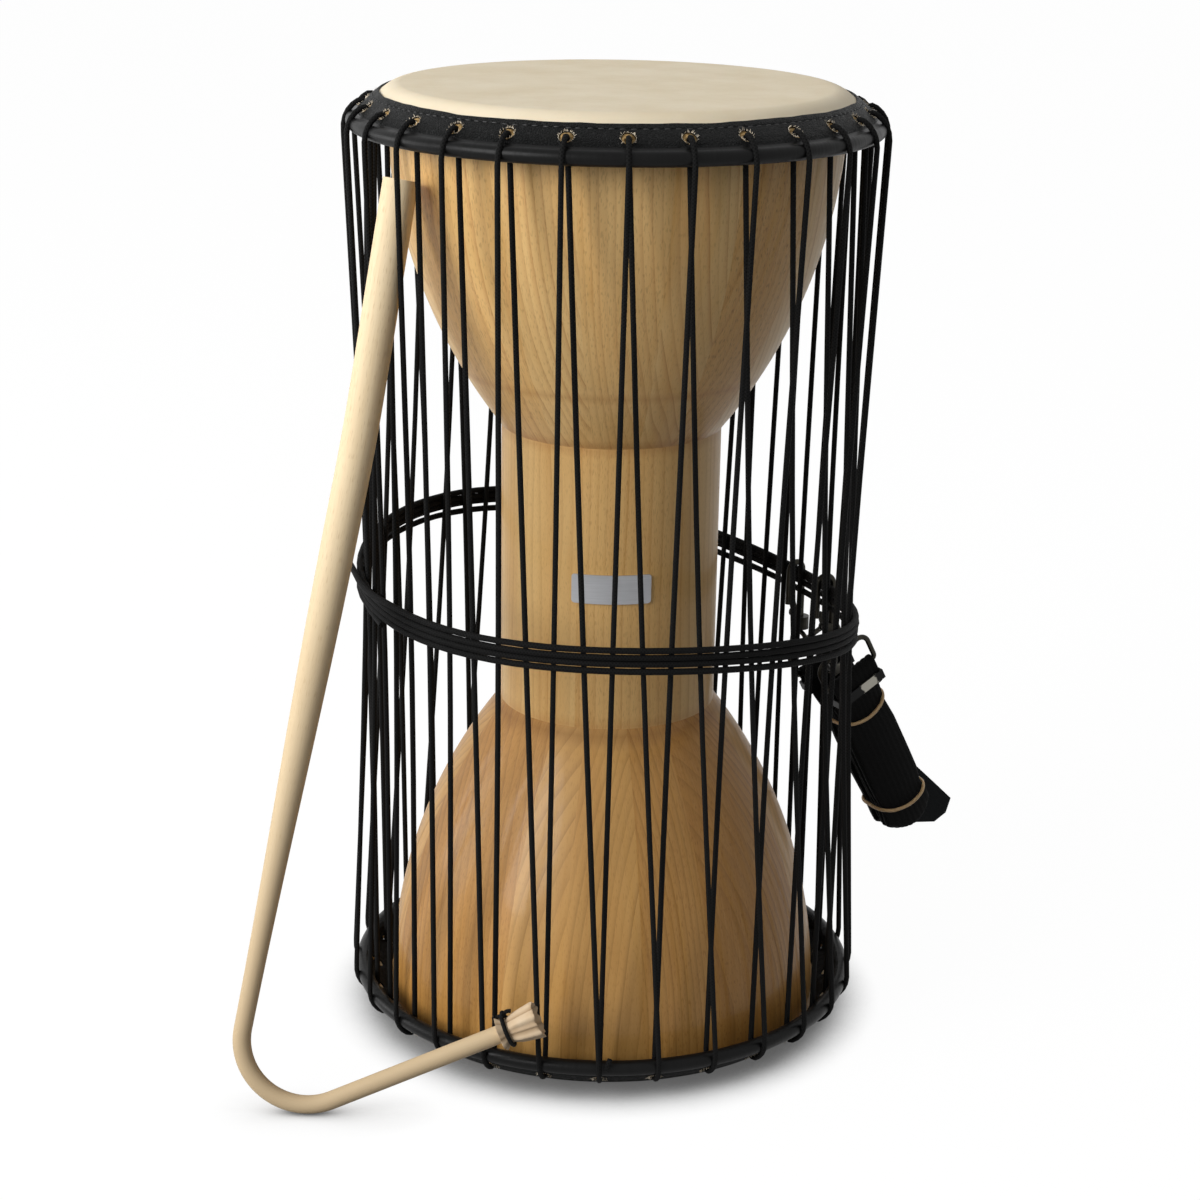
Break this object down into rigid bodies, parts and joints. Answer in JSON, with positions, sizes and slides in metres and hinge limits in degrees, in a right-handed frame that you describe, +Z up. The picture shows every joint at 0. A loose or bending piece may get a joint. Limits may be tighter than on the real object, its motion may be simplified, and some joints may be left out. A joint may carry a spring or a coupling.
{
  "type": "talking drum",
  "caption": "Hourglass hand drum with a laced skin at each end, a cord winding round its waist with a clipped strap, and a bent beater tucked behind the lacing.",
  "frame": {"origin": "centre of the lower head's outer face, which stands on the floor", "axes": "+Z up along the drum's axis, -Y towards the front with the badge, +X towards the strap's side"},
  "size_m": [0.353, 0.2586, 0.44],
  "materials": {
    "shell_wood": "glossy clear lacquer over turned pine staves",
    "badge_metal": "satin",
    "drum_skin": "natural goatskin, dry and matt",
    "band_leather": "black, fine grained, matt",
    "hoop_steel": "black",
    "lacing_cord": "black braided cord",
    "beater_wood": "raw, sanded",
    "tip_leather": "cream, soft",
    "tie_cord": "black cord",
    "hook_nickel": "dark nickel",
    "keeper_steel": "bright",
    "strap_web": "black ribbed webbing",
    "band_rubber": "tan, matt"
  },
  "bodies": {
    "drum": {"lower_bowl": "shell_wood", "upper_bowl": "shell_wood", "waist_tube": "shell_wood", "badge_plate": "badge_metal", "bottom_skin": "drum_skin", "top_skin": "drum_skin", "tension_cord": "lacing_cord", "waist_cord": "lacing_cord", "hook_a": "hook_nickel", "hook_b": "hook_nickel", "hook_a_gate_pin": "hook_nickel", "hook_b_gate_pin": "hook_nickel"},
    "top_hoop": {"top_hoop": "hoop_steel", "top_band": "band_leather"},
    "bottom_hoop": {"bottom_hoop": "hoop_steel", "bottom_band": "band_leather"},
    "beater": {"beater_stick": "beater_wood", "beater_tip": "tip_leather", "beater_tie": "tie_cord"},
    "strap": {"hook_a_ring": "hook_nickel", "hook_b_ring": "hook_nickel", "strap_webbing": "strap_web", "strap_keeper_a": "keeper_steel", "strap_keeper_b": "keeper_steel", "strap_flap": "strap_web", "rubber_band_upper": "band_rubber", "rubber_band_lower": "band_rubber"},
    "hook_a_gate": {"hook_a_gate": "hook_nickel"},
    "hook_b_gate": {"hook_b_gate": "hook_nickel"},
    "hook_a_swivel": {"hook_a_swivel": "hook_nickel"},
    "hook_b_swivel": {"hook_b_swivel": "hook_nickel"}
  },
  "joints": [
    {"name": "top_hoop_draw", "type": "slide", "parent": "drum", "child": "top_hoop", "axis": [0, 0, -1], "range_m": [0, 0.003], "stiffness_N_per_m": 20000, "deforming": ["top_band", "tension_cord"]},
    {"name": "bottom_hoop_draw", "type": "slide", "parent": "drum", "child": "bottom_hoop", "axis": [0, 0, 1], "range_m": [0, 0.003], "stiffness_N_per_m": 20000, "deforming": ["bottom_band"]},
    {"name": "beater_draw", "type": "slide", "parent": "drum", "child": "beater", "axis": [-0.8387, -0.5446, 0], "range_m": [0, 0.1]},
    {"name": "strap_swing", "type": "hinge", "parent": "drum", "child": "strap", "pos_m": [0.10438, 0.05698, 0.15533], "axis": [0.4791, -0.8777, 0], "range_deg": [0, 18]},
    {"name": "hook_a_gate_hinge", "type": "hinge", "parent": "drum", "child": "hook_a_gate", "pos_m": [0.10729, 0.04378, 0.17285], "axis": [-0.3778, 0.9259, 0], "range_deg": [0, 20], "stiffness_Nm_per_rad": 0.02},
    {"name": "hook_b_gate_hinge", "type": "hinge", "parent": "drum", "child": "hook_b_gate", "pos_m": [0.09485, 0.06656, 0.17285], "axis": [-0.5744, 0.8186, 0], "range_deg": [0, 20], "stiffness_Nm_per_rad": 0.02},
    {"name": "hook_a_swivel_turn", "type": "hinge", "parent": "drum", "child": "hook_a_swivel", "pos_m": [0.1108, 0.04522, 0.15665], "axis": [0, 0, 1], "range_deg": [-20, 20]},
    {"name": "hook_b_swivel_turn", "type": "hinge", "parent": "drum", "child": "hook_b_swivel", "pos_m": [0.09796, 0.06874, 0.15665], "axis": [0, 0, 1], "range_deg": [-20, 20]}
  ],
  "couplings": [
    {"joint": "bottom_hoop_draw", "follows": "top_hoop_draw", "ratio": 1}
  ]
}
